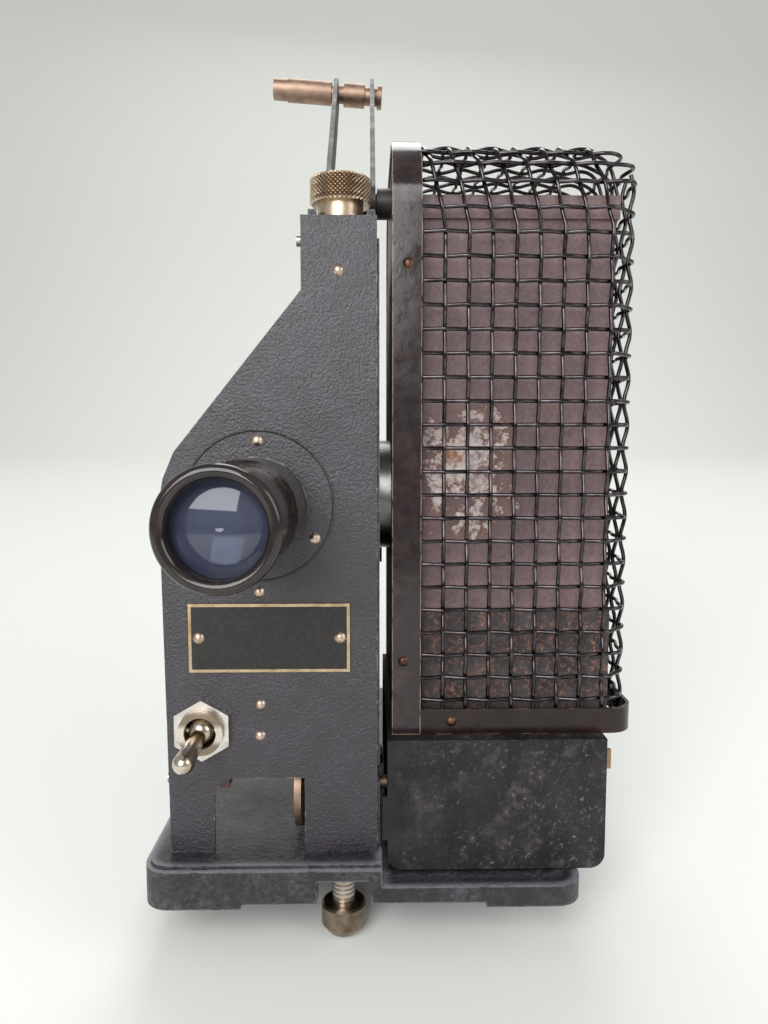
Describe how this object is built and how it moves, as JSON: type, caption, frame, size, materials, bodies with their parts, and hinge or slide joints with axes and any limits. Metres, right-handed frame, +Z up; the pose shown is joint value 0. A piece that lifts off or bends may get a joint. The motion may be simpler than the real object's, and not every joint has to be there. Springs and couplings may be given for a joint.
{
  "type": "movie projector",
  "caption": "Compact silent film projector with a side-mounted lamp house behind a woven wire guard, a front lens tube, a folding reel arm and an elevating screw.",
  "frame": {"origin": "on the table, under the middle of the bounding box", "axes": "+Z up, -Y the way the lens faces, +X to the right as seen from in front of the lens"},
  "size_m": [0.1326, 0.2329, 0.2581],
  "materials": {
    "crinkle_japanned_iron": "coarse crinkle japan over cast iron",
    "panel_japan": "fine leather-grain japan over sheet steel",
    "gloss_japan": "glossy black japan worn at the edges",
    "guard_wire_steel": "dark oxidised steel wire",
    "lamp_house_japan": "brown heat-dulled japan",
    "burnt_sheet": "dark japan with rust spots",
    "motor_cover_japan": "matt black japan, scuffed",
    "brass": "worn brass",
    "rivet_brass": "pale worn brass",
    "nickel": "dull nickel plate",
    "steel": "turned and ground steel",
    "arm_steel": "dark oxidised strip steel",
    "phenolic": "dark red-brown moulded phenolic",
    "optical_glass": "polished glass",
    "silvered_mirror": "silvered"
  },
  "bodies": {
    "projector": {"base_casting": "crinkle_japanned_iron", "front_panel": "panel_japan", "lens_flange": "panel_japan", "panel_rivets": "rivet_brass", "lens_mount_tube": "gloss_japan", "name_plate": "brass", "plate_screws": "brass", "switch_body": "phenolic", "switch_bushing": "brass", "switch_nut": "nickel", "mechanism_frame": "crinkle_japanned_iron", "frame_screws": "steel", "upper_bearing": "crinkle_japanned_iron", "lower_bearing": "crinkle_japanned_iron", "shutter_bearing": "crinkle_japanned_iron", "aperture_plate": "steel", "roller_studs": "steel", "beam_mirror": "silvered_mirror", "mirror_bracket": "crinkle_japanned_iron", "condenser_tube": "steel", "condenser_lenses": "optical_glass", "lamp_side_plate": "lamp_house_japan", "lamp_house": "lamp_house_japan", "lamp_house_cap": "lamp_house_japan", "lamp_house_skirt": "burnt_sheet", "lamp_socket": "brass", "lamp_bulb": "optical_glass", "lamp_reflector": "silvered_mirror", "guard_side_band": "gloss_japan", "guard_bottom_band": "gloss_japan", "guard_hoops": "guard_wire_steel", "guard_rails": "guard_wire_steel", "guard_rivets": "burnt_sheet", "motor_housing": "motor_cover_japan", "motor_field": "steel", "power_inlet": "phenolic", "arm_pivot": "arm_steel", "take_up_arm": "crinkle_japanned_iron"},
    "elevating_screw": {"elevating_screw": "nickel", "elevating_foot": "nickel"},
    "lens": {"lens_barrel": "gloss_japan", "lens_elements": "optical_glass"},
    "switch_lever": {"switch_lever": "nickel"},
    "main_shaft": {"main_shaft": "steel", "drive_knob": "brass", "friction_wheel": "phenolic", "drive_gear": "brass", "feed_worm": "steel", "cam_drum": "steel"},
    "motor_armature": {"motor_armature": "brass"},
    "shutter": {"shutter": "steel"},
    "film_sprocket": {"film_sprocket": "brass"},
    "pull_down_claw": {"pull_down_claw": "steel"},
    "pressure_plate": {"pressure_plate": "steel"},
    "upper_roller": {"upper_roller": "brass"},
    "lower_roller": {"lower_roller": "brass"},
    "reel_arm": {"reel_arm": "arm_steel"},
    "reel_spindle": {"reel_spindle": "brass"},
    "take_up_spindle": {"take_up_spindle": "brass"},
    "speed_control": {"speed_control": "brass"}
  },
  "joints": [
    {"name": "elevating_screw_travel", "type": "slide", "parent": "projector", "child": "elevating_screw", "axis": [0, 0.0976, 0.9952], "range_m": [-0.002, 0.011]},
    {"name": "lens_focus", "type": "slide", "parent": "projector", "child": "lens", "axis": [0, -0.9952, 0.0976], "range_m": [-0.004, 0.006]},
    {"name": "switch_throw", "type": "hinge", "parent": "projector", "child": "switch_lever", "pos_m": [-0.05085, -0.06505, 0.06088], "axis": [1, 0, 0], "range_deg": [-22, 0]},
    {"name": "main_shaft_turn", "type": "hinge", "parent": "projector", "child": "main_shaft", "pos_m": [-0.01395, -0.04466, 0.11314], "axis": [0, 0.0976, 0.9952], "continuous": true},
    {"name": "motor_turn", "type": "hinge", "parent": "projector", "child": "motor_armature", "pos_m": [-0.00565, -0.05202, 0.038], "axis": [1, 0, 0], "continuous": true},
    {"name": "shutter_turn", "type": "hinge", "parent": "projector", "child": "shutter", "pos_m": [-0.02755, -0.03923, 0.10698], "axis": [0, 0.9952, -0.0976], "continuous": true},
    {"name": "sprocket_turn", "type": "hinge", "parent": "projector", "child": "film_sprocket", "pos_m": [-0.03565, -0.03422, 0.06991], "axis": [1, 0, 0], "continuous": true},
    {"name": "claw_stroke", "type": "slide", "parent": "projector", "child": "pull_down_claw", "axis": [0, 0.0976, 0.9952], "range_m": [-0.0038, 0.0038]},
    {"name": "gate_opening", "type": "slide", "parent": "projector", "child": "pressure_plate", "axis": [0, -0.9952, 0.0976], "range_m": [0, 0.0024]},
    {"name": "upper_roller_turn", "type": "hinge", "parent": "projector", "child": "upper_roller", "pos_m": [-0.03565, -0.0083, 0.14574], "axis": [1, 0, 0], "continuous": true},
    {"name": "lower_roller_turn", "type": "hinge", "parent": "projector", "child": "lower_roller", "pos_m": [-0.03565, -0.01269, 0.04971], "axis": [1, 0, 0], "continuous": true},
    {"name": "reel_arm_fold", "type": "hinge", "parent": "projector", "child": "reel_arm", "pos_m": [-0.00565, -0.0199, 0.20164], "axis": [1, 0, 0], "range_deg": [-40, 30]},
    {"name": "reel_spindle_turn", "type": "hinge", "parent": "reel_arm", "child": "reel_spindle", "pos_m": [-0.01175, 0.04836, 0.25222], "axis": [-0.9976, 0.0068, 0.0694], "continuous": true},
    {"name": "take_up_turn", "type": "hinge", "parent": "projector", "child": "take_up_spindle", "pos_m": [-0.00565, 0.10603, 0.09233], "axis": [1, 0, 0], "continuous": true},
    {"name": "speed_setting", "type": "hinge", "parent": "projector", "child": "speed_control", "pos_m": [0.05735, -0.0527, 0.05163], "axis": [1, 0, 0], "range_deg": [-30, 30]}
  ],
  "couplings": [
    {"joint": "main_shaft_turn", "follows": "motor_turn", "ratio": 0.72},
    {"joint": "shutter_turn", "follows": "motor_turn", "ratio": 0.72},
    {"joint": "sprocket_turn", "follows": "motor_turn", "ratio": 0.06}
  ]
}
